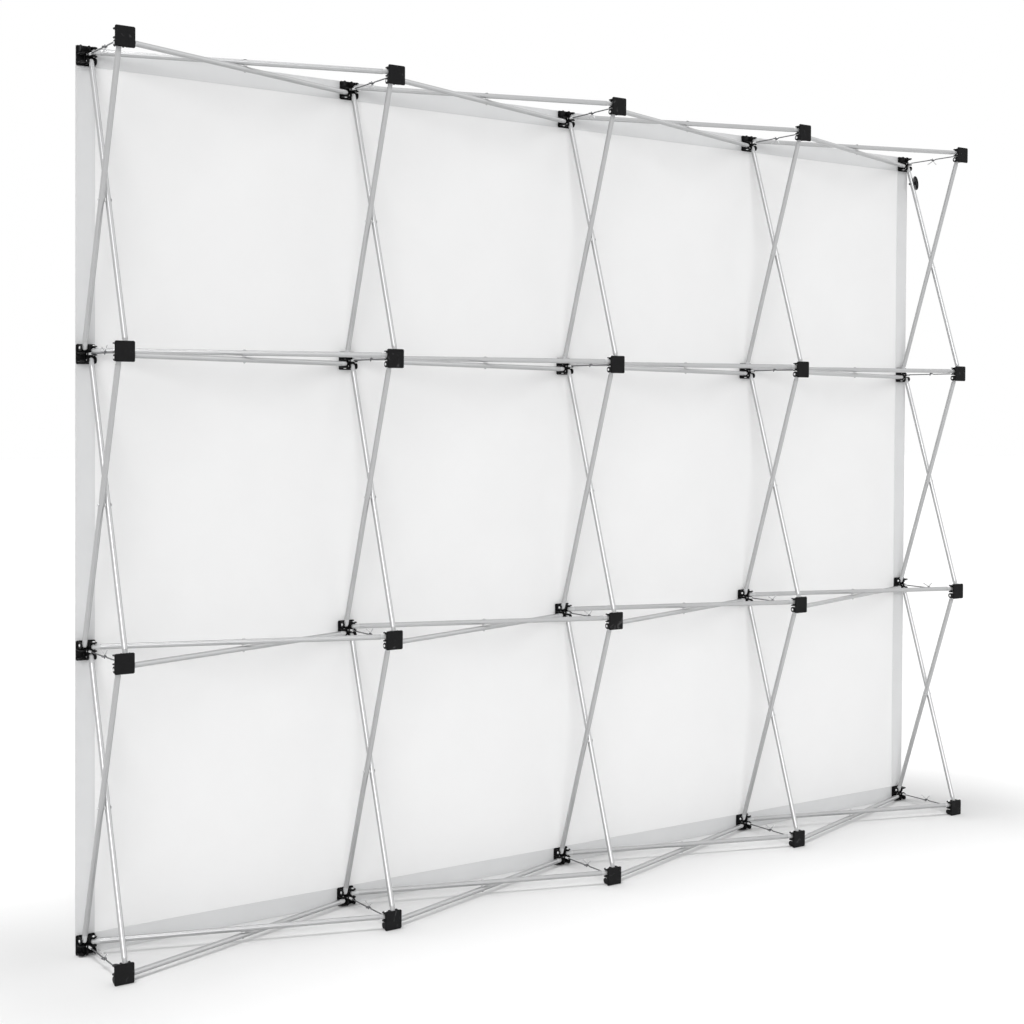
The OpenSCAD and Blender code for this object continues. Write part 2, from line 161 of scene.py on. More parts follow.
# ---- Hubs ------------------------------------------------------------------------------------------
# Each of the forty hubs is one black nylon moulding: a square plate, four clevises that go round it
# like a pinwheel, with a boss inside each ear, and a slotted post in the middle for the lock.
BAYS, ROWS = 4, 3
PIVOT = {j["name"]: j["pos_m"] for j in frame["joints"]}
LOCK_IN = 0.022
COLUMN_X = [PIVOT[f"hook_hinge_c{i + 1}r1"][0] for i in range(BAYS + 1)]
LEVEL_Z = [PIVOT[f"hook_hinge_c1r{j + 1}"][2] for j in range(ROWS + 1)]
Y_BACK = PIVOT["hook_hinge_c1r1"][1] - LOCK_IN
Y_FRONT = PIVOT["eye_hinge_c1r1"][1] + LOCK_IN
CELLS = [(i, j) for i in range(BAYS + 1) for j in range(ROWS + 1)]
TAU = 2 * math.pi


def turn(axis, degrees):
    """The 3 by 3 matrix of a right-hand turn about X, Y or Z."""
    c, s = math.cos(math.radians(degrees)), math.sin(math.radians(degrees))
    k = "XYZ".index(axis)
    m = np.eye(3)
    a, b = (k + 1) % 3, (k + 2) % 3
    m[a, a], m[a, b], m[b, a], m[b, b] = c, -s, s, c
    return m


def place(at, *turns):
    """A place for a copy: (turn, shift). The last turn named is the first one made."""
    m = np.eye(3)
    for t in turns:
        m = m @ t
    return m, np.array(at, float)


UNMOVED = place((0, 0, 0))


def within(outer, inner):
    """The place that a place inside another place has in the row frame."""
    return outer[0] @ inner[0], outer[0] @ inner[1] + outer[1]


def shape(points, faces, finish=0):
    """A shape is (points, faces, the number of its material on each face)."""
    points = np.asarray(points, float).reshape(-1, 3)
    faces = [tuple(int(i) for i in f) for f in faces]
    return points, faces, [finish] * len(faces)


def gather(*shapes):
    """Several shapes as one."""
    start = np.cumsum([0] + [len(s[0]) for s in shapes])
    faces = [tuple(i + int(n) for i in f) for s, n in zip(shapes, start) for f in s[1]]
    return np.concatenate([s[0] for s in shapes]), faces, [k for s in shapes for k in s[2]]


def moved(one, where):
    """A shape carried to a place: point times turn, plus shift."""
    return one[0] @ where[0].T + where[1], one[1], one[2]


def grid_faces(rows, columns, wrap_rows=False, wrap_columns=True):
    """The quads of a grid of points, row after row, closed on itself along the ways that wrap."""
    r = np.arange(rows if wrap_rows else rows - 1)[:, None]
    c = np.arange(columns if wrap_columns else columns - 1)[None, :]
    r2, c2 = (r + 1) % rows, (c + 1) % columns
    corners = [r * columns + c, r * columns + c2, r2 * columns + c2, r2 * columns + c]
    return np.stack(corners, -1).reshape(-1, 4)


def lathe(profile, sides, axis="Z", ring=False, finish=0):
    """A profile of (radius, height) pairs turned round an axis: x = r cos a, y = r sin a, z = h.
    A ring's profile closes on itself, and any other ends on the axis."""
    r, h = np.array(profile, float).T[:, :, None]
    a = np.arange(sides)[None, :] * TAU / sides
    points = np.stack([r * np.cos(a), r * np.sin(a), h + 0 * a], -1)
    if axis == "X":
        points = points[..., [2, 0, 1]]
    return shape(points, grid_faces(len(profile), sides, wrap_rows=ring), finish)


def slab(outline, thickness, bevel):
    """A flat piece along +Z: a loop of points carried through four levels, and drawn in by the bevel at
    the first and last, which are closed. outline(d) is the loop drawn in by d."""
    levels = ((bevel, 0), (0, bevel), (0, thickness - bevel), (bevel, thickness))
    loops = [np.c_[outline(d), np.full(len(outline(d)), z)] for d, z in levels]
    side = shape(np.concatenate(loops), grid_faces(len(levels), len(loops[0])))
    ends = [shape(loop, tessellate_polygon([loop.tolist()])) for loop in (loops[0], loops[-1])]
    return gather(side, *ends)


def round_square(width, radius):
    """The outline of a square with round corners, as a function of how far it is drawn in."""
    def loop(d):
        """Four quarter circles of radius - d round the centres of the corners."""
        a = np.linspace(0, TAU / 4, 5)
        c = width / 2 - radius
        corner = [np.c_[np.cos(a + q), np.sin(a + q)] * (radius - d)
                  + c * math.sqrt(2) * np.array([math.cos(q + TAU / 8), math.sin(q + TAU / 8)])
                  for q in np.arange(4) * TAU / 4]
        return np.concatenate(corner)
    return loop


PLATE_W, PLATE_T, PLATE_CORNER, PLATE_EDGE = 0.050, 0.003, 0.004, 0.0005
PIN_OUT, PIN_IN = 0.015, 0.0175
EAR_T, EAR_R, EAR_BASE = 0.003, 0.0085, 0.0085
EAR_BOSS_R, EAR_BOSS_H, BOSS_EDGE = 0.0045, 0.0026, 0.0004
TIE_T, TIE_FROM, TIE_TO, TIE_SHY = 0.0016, 0.0015, 0.014, 0.0001
POST_R, POST_FLAT, POST_TOP, POST_EDGE = 0.0055, 0.0044, 0.0156, 0.0004
PRONG_FROM, PRONG_L, SLOT_HALF, PRONG_EDGE = 0.014, 0.012, 0.002, 0.0003
TUBE_D, TUBE_WALL, WASHER_T = 0.014, 0.001, 0.003
PLUG_D, PLUG_SHOW = 0.0126, 0.016
ARM_OFF = (TUBE_D + WASHER_T) / 2
CLEVIS_GAP = PLUG_D + 0.0004
EAR_NEAR = ARM_OFF - CLEVIS_GAP / 2 - EAR_BOSS_H - EAR_T
EAR_FAR = ARM_OFF + CLEVIS_GAP / 2 + EAR_BOSS_H
CLEVIS_END = EAR_FAR + EAR_T
FLAT_TO_HUB = np.array([[1, 0, 0], [0, 0, 1], [0, 1, 0]], float)


def ear_outline(d):
    """A taper from the plate up to the round eye: the circle's arc above where the sides meet it."""
    r, neck, base, foot = EAR_R - d, EAR_R * 0.9 - d, EAR_BASE - d, PIN_IN - PLATE_T / 2
    s = (base - neck) / foot
    h = (math.sqrt((neck * s) ** 2 - (1 + s * s) * (neck ** 2 - r ** 2)) - neck * s) / (1 + s * s)
    low = math.asin(h / r)
    a = np.linspace(-low, math.pi + low, 15)
    arc = np.c_[np.cos(a), np.sin(a)] * r
    return np.concatenate([[[base, -foot]], arc, [[-base, -foot]]]) + (PIN_OUT, PIN_IN)


def box_outline(x0, y0, x1, y1):
    """A rectangle from corner to corner, as a function of how far it is drawn in."""
    return lambda d: np.array([[x0 + d, y0 + d], [x1 - d, y0 + d], [x1 - d, y1 - d], [x0 + d, y1 - d]])


def post_outline(d, inner=None):
    """A circle cut off by two flats, or the part of it past an inner face, as one prong is."""
    r, f = POST_R - d, POST_FLAT - d
    top = math.acos(f / r)
    if inner is None:
        right = np.linspace(top, math.pi - top, 9)
        arc = np.c_[np.cos(right), np.sin(right)] * r
        return np.concatenate([arc, -arc])
    a = np.linspace(top, math.acos((inner + d) / r), 6)
    arc = np.c_[np.cos(a), np.sin(a)] * r
    return np.concatenate([arc, (arc * (1, -1))[::-1]])


def hub_shape():
    """Plate, four clevises with their back walls, and the post with its two prongs, in a hub's frame."""
    plate = slab(round_square(PLATE_W, PLATE_CORNER), PLATE_T, PLATE_EDGE)
    post = slab(post_outline, POST_TOP - PLATE_T / 2, POST_EDGE)
    parts = [moved(plate, (FLAT_TO_HUB, np.zeros(3))),
             moved(post, (FLAT_TO_HUB, np.array([0, PLATE_T / 2, 0])))]
    for side in (1, -1):
        prong = slab(lambda d: post_outline(d, inner=SLOT_HALF) * (side, 1), PRONG_L, PRONG_EDGE)
        parts.append(moved(prong, (FLAT_TO_HUB, np.array([0, PRONG_FROM, 0]))))
    tie_x = PIN_OUT - EAR_BASE
    wall = slab(box_outline(tie_x, TIE_FROM, tie_x + TIE_T, TIE_TO),
                CLEVIS_END - EAR_NEAR - 2 * TIE_SHY, PLATE_EDGE / 2)
    wall = moved(wall, place((0, 0, -CLEVIS_END + TIE_SHY)))
    ears = [moved(slab(ear_outline, EAR_T, PLATE_EDGE), place((0, 0, -z - EAR_T)))
            for z in (EAR_NEAR, EAR_FAR)]
    r, h = EAR_BOSS_R, EAR_BOSS_H
    boss = lathe([(0, h), (r - BOSS_EDGE, h), (r, h - BOSS_EDGE), (r, -EAR_T / 2), (0, -EAR_T / 2)], 20)
    bosses = [moved(boss, place((PIN_OUT, PIN_IN, -EAR_NEAR - EAR_T), turn("X", 180))),
              moved(boss, place((PIN_OUT, PIN_IN, -EAR_FAR)))]
    for q in range(4):
        parts += [moved(p, place((0, 0, 0), turn("Y", -90 * q))) for p in (wall, *ears, *bosses)]
    return gather(*parts)


def at_back_hub(i, j):
    """A back hub's frame: X and Z as the wall's, and Y from its plate into the frame."""
    return place((COLUMN_X[i], Y_BACK, LEVEL_Z[j]))


def at_front_hub(i, j):
    """A front hub's frame: the same moulding turned half round Z, to face the back hub."""
    return place((COLUMN_X[i], Y_FRONT, LEVEL_Z[j]), turn("Z", 180))


MERGE, SHARP_FROM = 1e-6, math.radians(35)


def make_piece(name, one, places, body, node, finishes):
    """A piece from copies of one shape. Each copy's points are also kept as they are in the shape's own
    frame, a metre apart from copy to copy, in the attribute own_place, for patterns that follow it."""
    copies = gather(*[moved(one, p) for p in places])
    own = np.concatenate([one[0] + (0, 0, k) for k in range(len(places))])
    mesh = bpy.data.meshes.new(name)
    mesh.from_pydata(copies[0].tolist(), [], copies[1])
    mesh.polygons.foreach_set("material_index", copies[2])
    attribute = mesh.attributes.new("own_place", "FLOAT_VECTOR", "POINT")
    attribute.data.foreach_set("vector", own.astype(np.float32).ravel())
    work = bmesh.new()
    work.from_mesh(mesh)
    bmesh.ops.remove_doubles(work, verts=work.verts, dist=MERGE)
    bmesh.ops.dissolve_degenerate(work, edges=work.edges, dist=MERGE)
    bmesh.ops.recalc_face_normals(work, faces=work.faces)
    work.to_mesh(mesh)
    work.free()
    mesh.polygons.foreach_set("use_smooth", [True] * len(mesh.polygons))
    mesh.set_sharp_from_angle(angle=SHARP_FROM)
    for finish in finishes:
        mesh.materials.append(finish)
    piece = bpy.data.objects.new(name, mesh)
    bpy.context.scene.collection.objects.link(piece)
    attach(piece, body)
    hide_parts(node)
    return piece


def effect(name, ways_in, ways_out):
    """An empty node group with named inputs and outputs, and the two nodes that hold them."""
    tree = bpy.data.node_groups.new(name, "ShaderNodeTree")
    for key, kind, value in ways_in:
        socket = tree.interface.new_socket(name=key, in_out="INPUT", socket_type="NodeSocket" + kind)
        if value is not None:
            socket.default_value = value
    for key, kind in ways_out:
        tree.interface.new_socket(name=key, in_out="OUTPUT", socket_type="NodeSocket" + kind)
    return tree, tree.nodes.new("NodeGroupInput"), tree.nodes.new("NodeGroupOutput")


def moulded_grain():
    """Fine even grain, with larger patches where handling has polished it: two noises, one of them added
    to the height and the other to the roughness, and sparse pale scuffs where a distorted noise peaks."""
    tree, way_in, way_out = effect(
        "moulded_grain", [("Place", "Vector", None), ("Grain", "Float", 900.0), ("Patch", "Float", 60.0)],
        [("Height", "Float"), ("Patches", "Float"), ("Scuffs", "Float")])
    fine = new_node(tree, "ShaderNodeTexNoise", Detail=2.0)
    broad = new_node(tree, "ShaderNodeTexNoise", Detail=3.0)
    streak = new_node(tree, "ShaderNodeTexNoise", Detail=4.0, Distortion=1.2)
    link = tree.links.new
    for noise, scale in ((fine, "Grain"), (broad, "Patch"), (streak, "Patch")):
        link(way_in.outputs["Place"], noise.inputs["Vector"])
        link(way_in.outputs[scale], noise.inputs["Scale"])
    link(fine.outputs["Fac"], way_out.inputs["Height"])
    link(broad.outputs["Fac"], way_out.inputs["Patches"])
    link(carried(tree, streak.outputs["Fac"], (0.66, 0.82, 0, 1)), way_out.inputs["Scuffs"])
    return tree


GRAIN = moulded_grain()


def own_place(tree):
    """The point in its copy's own frame, which make_piece keeps."""
    return new_node(tree, "ShaderNodeAttribute", attribute_name="own_place").outputs["Vector"]


def new_finish(name, **values):
    """A material with its Principled shader's plain inputs set; returns the tree and the shader too."""
    material = bpy.data.materials.new(name)
    material.use_nodes = True
    shader = material.node_tree.nodes["Principled BSDF"]
    for key, value in values.items():
        shader.inputs[key.replace("_", " ")].default_value = value
    return material, material.node_tree, shader


def pattern(tree, kind, at, out="Fac", **values):
    """One output of a texture that is read at a place."""
    node = new_node(tree, "ShaderNodeTex" + kind, **values)
    tree.links.new(at, node.inputs["Vector"])
    return node.outputs[out]


def mixed(tree, factor, low, high):
    """A colour between two colours or colour sockets: low + (high - low) times the factor."""
    node = new_node(tree, "ShaderNodeMix", data_type="RGBA")
    for index, colour in ((6, low), (7, high)):
        if isinstance(colour, tuple):
            node.inputs[index].default_value = (*colour, 1)
        else:
            tree.links.new(colour, node.inputs[index])
    tree.links.new(factor, node.inputs[0])
    return node.outputs[2]


def raised(tree, shader, height, distance, strength=1.0):
    """Puts a height through a Bump node into the shader's normal."""
    node = new_node(tree, "ShaderNodeBump", Strength=strength, Distance=distance)
    tree.links.new(height, node.inputs["Height"])
    tree.links.new(node.outputs["Normal"], shader.inputs["Normal"])


def moulded_finish(name, dark, light, scuffed, roughness=(0.38, 0.52), grain=900.0, depth=0.00003,
                   gloss=0.2):
    """Moulded plastic: colour between dark and light in broad patches, scuffs, and a fine grain."""
    material, tree, shader = new_finish(name, Specular_IOR_Level=gloss)
    group = new_node(tree, "ShaderNodeGroup", node_tree=GRAIN)
    group.inputs["Grain"].default_value = grain
    tree.links.new(own_place(tree), group.inputs["Place"])
    base = mixed(tree, group.outputs["Patches"], dark, light)
    faint = carried(tree, group.outputs["Scuffs"], (0, 1, 0, 0.35))
    tree.links.new(mixed(tree, faint, base, scuffed), shader.inputs["Base Color"])
    rough = carried(tree, group.outputs["Patches"], (0, 1, *roughness))
    tree.links.new(rough, shader.inputs["Roughness"])
    raised(tree, shader, group.outputs["Height"], depth)
    return material


hub_finish = moulded_finish("hub_black", (0.005, 0.005, 0.0055), (0.010, 0.010, 0.0105),
                            (0.04, 0.04, 0.041), gloss=0.12)
HUB = hub_shape()
make_piece("back_hub_mouldings", HUB, [at_back_hub(i, j) for i, j in CELLS], "frame", "back_hubs",
           [hub_finish])
make_piece("front_hub_mouldings", HUB, [at_front_hub(i, j) for i, j in CELLS], "frame", "front_hubs",
           [hub_finish])

# ---- Hook pads -------------------------------------------------------------------------------------
# A square of dark grey hook tape is stuck to the outer face of every hub. On the back hubs it fills
# the plate; on the front hubs it is smaller and holds the fabric.
BACK_PAD_W, FRONT_PAD_W, PAD_CORNER, PAD_T, TAPE_T = 0.047, 0.034, 0.003, 0.0016, 0.001


def hook_tape():
    """Rows of fine hooks: a cell pattern of dots 1.1 mm apart in the height, paler on their tops, and a
    painted highlight: paler streaks where a noise about 45 mm wide peaks, for the shine of the tape."""
    material, tree, shader = new_finish("hook_tape_grey", Roughness=0.8, Specular_IOR_Level=0.08)
    at = own_place(tree)
    dots = pattern(tree, "Voronoi", at, "Distance", Scale=900.0, Randomness=0.35)
    tops = carried(tree, dots, (0.55, 0.15, 0, 1))
    patch = pattern(tree, "Noise", at, Scale=70.0, Detail=3.0)
    # Painted highlight: where this noise peaks, the tape is painted paler for its shine.
    painted_shine_streaks = pattern(tree, "Noise", at, Scale=22.0, Detail=4.0, Distortion=2.0)
    ground = mixed(tree, patch, (0.010, 0.010, 0.0105), (0.016, 0.016, 0.0165))
    hooked = mixed(tree, tops, ground, (0.026, 0.026, 0.027))
    # The pale 0.09 grey is the colour of the painted highlight.
    tree.links.new(mixed(tree, carried(tree, painted_shine_streaks, (0.62, 0.76, 0, 1)), hooked, (0.09, 0.09, 0.092)),
                   shader.inputs["Base Color"])
    raised(tree, shader, tops, 0.0003)
    return material


hook_tape_finish = hook_tape()
pad = moved(slab(round_square(BACK_PAD_W, PAD_CORNER), PAD_T, 0.0004),
            (FLAT_TO_HUB, np.array([0, -PAD_T, 0])))
make_piece("back_pad_tape", pad, [at_back_hub(i, j) for i, j in CELLS], "frame", "back_hook_pads",
           [hook_tape_finish])
front_pads = []
for i, j in CELLS:
    inner = 0 < i < BAYS and 0 < j < ROWS
    thick = PAD_T + TAPE_T if inner else PAD_T
    one = moved(slab(round_square(FRONT_PAD_W, PAD_CORNER), thick, 0.0003),
                (FLAT_TO_HUB, np.array([0, -thick, 0])))
    front_pads.append(moved(one, at_front_hub(i, j)))
make_piece("front_pad_tape", gather(*front_pads), [UNMOVED], "frame", "front_hook_pads",
           [hook_tape_finish])

# ---- Tubes -----------------------------------------------------------------------------------------
# Sixty-two thin aluminium tubes, drawn, cut off and silver anodised. They cross in pairs, a washer
# apart, and run from a back hub to the front hub of the next column or level.
RUN_FLAT = LEVEL_Z[1] - LEVEL_Z[0] - 2 * PIN_OUT
RUN_DEEP = Y_FRONT - Y_BACK - 2 * PIN_IN
SPAN = math.hypot(RUN_FLAT, RUN_DEEP)
LEAN = math.degrees(math.atan2(RUN_DEEP, RUN_FLAT))
UPRIGHT = turn("Z", 90) @ turn("X", 90)
RAILS = [(i, j) for i in range(BAYS) for j in range(ROWS + 1)]
UPRIGHTS = [(i, j) for i in range(BAYS + 1) for j in range(ROWS)]


def on_rail_a(i, j):
    """From a back hub to the front hub of the next column, half a tube and half a washer low."""
    return place((COLUMN_X[i] + PIN_OUT, Y_BACK + PIN_IN, LEVEL_Z[j] - ARM_OFF), turn("Z", LEAN))


def on_rail_b(i, j):
    """From a front hub to the back hub of the next column, as far high."""
    return place((COLUMN_X[i] + PIN_OUT, Y_FRONT - PIN_IN, LEVEL_Z[j] + ARM_OFF), turn("Z", -LEAN))


def on_upright_a(i, j):
    """From a front hub to the back hub above, half a tube and half a washer to the left."""
    return place((COLUMN_X[i] - ARM_OFF, Y_FRONT - PIN_IN, LEVEL_Z[j] + PIN_OUT),
                 UPRIGHT, turn("Z", 90 + LEAN))


def on_upright_b(i, j):
    """From a back hub to the front hub above, as far to the right."""
    return place((COLUMN_X[i] + ARM_OFF, Y_BACK + PIN_IN, LEVEL_Z[j] + PIN_OUT),
                 UPRIGHT, turn("Z", 90 - LEAN))


def tube_shape():
    """A ring turned about X: outer wall, cut ends with a broken edge, and inner wall."""
    outer, inner, edge = TUBE_D / 2, TUBE_D / 2 - TUBE_WALL, 0.00015
    start, end = PLUG_SHOW, SPAN - PLUG_SHOW
    return lathe([(inner, start), (outer - edge, start), (outer, start + edge), (outer, end - edge),
                  (outer - edge, end), (inner, end)], 36, axis="X", ring=True)


def drawn_metal(name, dark, light, metallic, roughness):
    """Drawn and anodised metal: a noise stretched along the tube streaks its colour and roughness."""
    material, tree, shader = new_finish(name, Metallic=metallic, Specular_IOR_Level=0.6)
    at = own_place(tree)
    stretch = new_node(tree, "ShaderNodeMapping", Scale=(3.0, 1400.0, 1400.0))
    tree.links.new(at, stretch.inputs["Vector"])
    streaks = pattern(tree, "Noise", stretch.outputs["Vector"], Scale=1.0, Detail=2.0)
    cloudy = pattern(tree, "Noise", at, Scale=14.0, Detail=2.0)
    both = math_node(tree, "MULTIPLY", streaks, cloudy)
    tree.links.new(mixed(tree, both, dark, light), shader.inputs["Base Color"])
    tree.links.new(carried(tree, streaks, (0, 1, *roughness)), shader.inputs["Roughness"])
    raised(tree, shader, streaks, 0.000002)
    return material


tube_finish = drawn_metal("tube_silver", (0.44, 0.443, 0.447), (0.54, 0.543, 0.547), 0.75, (0.25, 0.33))
TUBE = tube_shape()
for name, at, cells in (("rail_tubes_a", on_rail_a, RAILS), ("rail_tubes_b", on_rail_b, RAILS),
                        ("upright_tubes_a", on_upright_a, UPRIGHTS),
                        ("upright_tubes_b", on_upright_b, UPRIGHTS)):
    make_piece(name + "_drawn", TUBE, [at(i, j) for i, j in cells], "frame", name,
               [tube_finish])

# ---- Tube end plugs --------------------------------------------------------------------------------
# A light grey plastic plug in each end of a tube, with a domed tip that turns on the hub pin, and a
# moulded collar against the cut end of the tube.
def plug_shape():
    """A profile turned about X: dome, body, collar and the start of the spigot inside the tube."""
    r, end, spigot_r, spigot_l = PLUG_D / 2, PLUG_SHOW, 0.0058, 0.006
    dome = [(r * math.sin(t), -r * math.cos(t)) for t in np.linspace(0, TAU / 4, 6)]
    groove = [(r, end - 0.0022), (r - 0.0003, end - 0.0018), (r, end - 0.0014)]
    spigot = [(spigot_r, end), (spigot_r, end + spigot_l), (0, end + spigot_l)]
    return lathe([*dome, *groove, (r, end), *spigot], 20, axis="X")


plug_finish = moulded_finish("plug_grey", (0.52, 0.525, 0.53), (0.61, 0.615, 0.62), (0.45, 0.45, 0.45),
                             roughness=(0.40, 0.55), depth=0.00001)
PLUG = plug_shape()
FAR_END = place((SPAN, 0, 0), turn("Z", 180))
for name, sets in (("rail_tube_ends", ((on_rail_a, RAILS), (on_rail_b, RAILS))),
                   ("upright_tube_ends", ((on_upright_a, UPRIGHTS), (on_upright_b, UPRIGHTS)))):
    tubes = [at(i, j) for at, cells in sets for i, j in cells]
    make_piece(name + "_plugs", PLUG, [*tubes, *(within(t, FAR_END) for t in tubes)], "frame", name,
               [plug_finish])

# ---- Hub pins --------------------------------------------------------------------------------------
# A bright steel pin goes through the two ears of each clevis and the plug between them. Its head stands
# on the outer ear, and its tail is riveted over the inner one.
def hub_pin_shape():
    """A profile turned about Z, set at the clevis of the hub's frame."""
    low, tail, shank_r, head_r, head_h = -CLEVIS_END, -EAR_NEAR + 0.0008, 0.002, 0.0035, 0.0020
    head = [(0, low - head_h), (0.0022, low - head_h), (0.0030, low - 0.0017), (head_r, low - 0.0011)]
    shank = [(head_r, low), (shank_r, low), (shank_r, tail - 0.0003), (0.0017, tail), (0, tail)]
    return moved(lathe([*head, *shank], 18), place((PIN_OUT, PIN_IN, 0)))


def takes_tube(i, j, q, back):
    """True where a tube leaves a hub by clevis q: 0 right, 1 up, 2 left, 3 down."""
    if q == 1:
        return j < ROWS
    if q == 3:
        return j > 0
    return i < BAYS if (q == 0) == back else i > 0


def plated_steel(name, dark, light, roughness, metallic):
    """Plated steel: a fine noise varies its colour and roughness a little."""
    material, tree, shader = new_finish(name, Metallic=metallic)
    cloudy = pattern(tree, "Noise", own_place(tree), Scale=400.0, Detail=3.0)
    tree.links.new(mixed(tree, cloudy, dark, light), shader.inputs["Base Color"])
    tree.links.new(carried(tree, cloudy, (0, 1, *roughness)), shader.inputs["Roughness"])
    return material


bright_steel = plated_steel("steel_bright", (0.76, 0.765, 0.77), (0.88, 0.885, 0.89), (0.22, 0.36),
                            metallic=0.6)
pin_places = [within(at(i, j), place((0, 0, 0), turn("Y", -90 * q)))
              for at, back in ((at_back_hub, True), (at_front_hub, False))
              for i, j in CELLS for q in range(4) if takes_tube(i, j, q, back)]
make_piece("hub_pins_turned", hub_pin_shape(), pin_places, "frame", "hub_pins",
           [bright_steel])

# ---- Scissor rivets and washers --------------------------------------------------------------------
# Where two tubes cross, a plated rivet goes through both: a domed head on one side, a short pointed nub
# on the other, and a white plastic washer between the tubes.
RIVET_REACH = ARM_OFF + TUBE_D / 2
RIVET_R, RIVET_HEAD_R, RIVET_DOME_H, NUB_R, NUB_H = 0.002, 0.0045, 0.0024, 0.0032, 0.003
WASHER_R, WASHER_EDGE = 0.005, 0.0002
Y_MID = (Y_BACK + Y_FRONT) / 2


def rivet_shape():
    """A profile turned about Z: nub, shank and domed head."""
    top, r = RIVET_REACH, RIVET_R
    dome = [(RIVET_HEAD_R * math.cos(t), top + RIVET_DOME_H * math.sin(t))
            for t in np.linspace(0.15, 1, 5)[:-1] * TAU / 4]
    nub = [(0, -top - NUB_H), (0.0010, -top - NUB_H + 0.0002), (0.0028, -top - NUB_H / 2), (NUB_R, -top)]
    return lathe([*nub, (r, -top), (r, top), (RIVET_HEAD_R, top), *dome, (0, top + RIVET_DOME_H)], 18)


rivet_steel = plated_steel("rivet_steel", (0.48, 0.485, 0.49), (0.62, 0.625, 0.63), (0.25, 0.4),
                           metallic=0.8)
washer_finish = moulded_finish("washer_white", (0.72, 0.72, 0.72), (0.80, 0.80, 0.80), (0.6, 0.6, 0.6))
half, r, edge = WASHER_T / 2, WASHER_R, WASHER_EDGE
washer = lathe([(RIVET_R, -half), (r - edge, -half), (r, edge - half), (r, half - edge), (r - edge, half),
                (RIVET_R, half)], 18, ring=True)
rail_crossings = [place(((COLUMN_X[i] + COLUMN_X[i + 1]) / 2, Y_MID, LEVEL_Z[j])) for i, j in RAILS]
upright_crossings = [place((COLUMN_X[i], Y_MID, (LEVEL_Z[j] + LEVEL_Z[j + 1]) / 2), UPRIGHT)
                     for i, j in UPRIGHTS]
for kind, crossings in (("rail", rail_crossings), ("upright", upright_crossings)):
    make_piece(kind + "_rivets_domed", rivet_shape(), crossings, "frame", kind + "_rivets",
               [rivet_steel])
    make_piece(kind + "_washers_round", washer, crossings, "frame", kind + "_washers",
               [washer_finish])

# ---- Locks -----------------------------------------------------------------------------------------
# Each pair of hubs is held apart by two steel arms that turn on cross pins in the hubs' posts: a hook
# with a V for the fingers from the back hub, and a rod with a closed ring from the front hub. Each has an
# eye and a crimped bright ferrule at its root. In the top row they are fitted upside down.
LOCK_RUN = Y_FRONT - Y_BACK - 2 * LOCK_IN
ROD_R, GRIP_R, RING_R, RING_BORE, LOCK_PLAY = 0.00175, 0.0015, 0.0015, 0.008, 0.0003
HOOK_X = LOCK_RUN / 2
HOOK_LIFT = RING_R + ROD_R + LOCK_PLAY
RING_X = LOCK_RUN - HOOK_X - (RING_BORE / 2 - ROD_R - LOCK_PLAY)
RING_MID = RING_BORE / 2 + RING_R
PEG_L, GRIP_H, GRIP_AFT, GRIP_FORE = 0.005, 0.014, 0.017, 0.018
ROD_START, ROD_MID, RISE_BACK, BEND_R = 0.0026, 0.05, 0.014, 0.003
EYE_BORE_R, EYE_R, EYE_HALF, EYE_EDGE = 0.00125, 0.0034, 0.0018, 0.0003
FERRULE_BORE_R, FERRULE_R, CRIMP_R = 0.0016, 0.003, 0.0026


def eased(points, radius):
    """A path in XY with each corner rounded: a curve between points set back along both sides,
    (1 - t)^2 p + 2 t (1 - t) corner + t^2 q."""
    points = np.array(points, float)
    t = np.linspace(0, 1, 6)[:, None]
    path = [points[:1]]
    for before, corner, after in zip(points[:-2], points[1:-1], points[2:]):
        ways = [(end - corner) / np.linalg.norm(end - corner) for end in (before, after)]
        back = [min(radius, 0.45 * np.linalg.norm(end - corner)) for end in (before, after)]
        p, q = corner + ways[0] * back[0], corner + ways[1] * back[1]
        path.append((1 - t) ** 2 * p + 2 * t * (1 - t) * corner + t ** 2 * q)
    return np.concatenate([*path, points[-1:]])


WIRE_SIDES = 14


def wire(path, radius, round_start=False, finish=0):
    """A round wire along a path in XY: rings of radius times (cos a, sin a) across the path, drawn in
    to a dome at a free end and closed flat at a hidden one."""
    path = np.asarray(path, float)
    along = np.gradient(path, axis=0)
    along /= np.linalg.norm(along, axis=1)[:, None]
    steps = np.linspace(0, TAU / 4, 4)
    dome_r, dome_x = np.cos(steps), np.sin(steps)
    head = [(path[0] - along[0] * radius * x * round_start, along[0], radius * r)
            for r, x in zip(dome_r[::-1], dome_x[::-1])]
    tail = [(path[-1] + along[-1] * radius * x, along[-1], radius * r) for r, x in zip(dome_r, dome_x)]
    rings = [*head, *((p, d, radius) for p, d in zip(path[1:-1], along[1:-1])), *tail]
    centre = np.array([r[0] for r in rings])[:, None, :]
    way = np.array([r[1] for r in rings])[:, None, :]
    size = np.array([r[2] for r in rings])[:, None, None]
    a = (np.arange(WIRE_SIDES) * TAU / WIRE_SIDES)[None, :, None]
    across = np.concatenate([-way[..., 1:2], way[..., 0:1]], -1)
    flat = centre + across * np.cos(a) * size
    points = np.concatenate([flat, np.sin(a) * size + 0 * flat[..., :1]], -1)
    return shape(points, grid_faces(len(rings), WIRE_SIDES), finish)


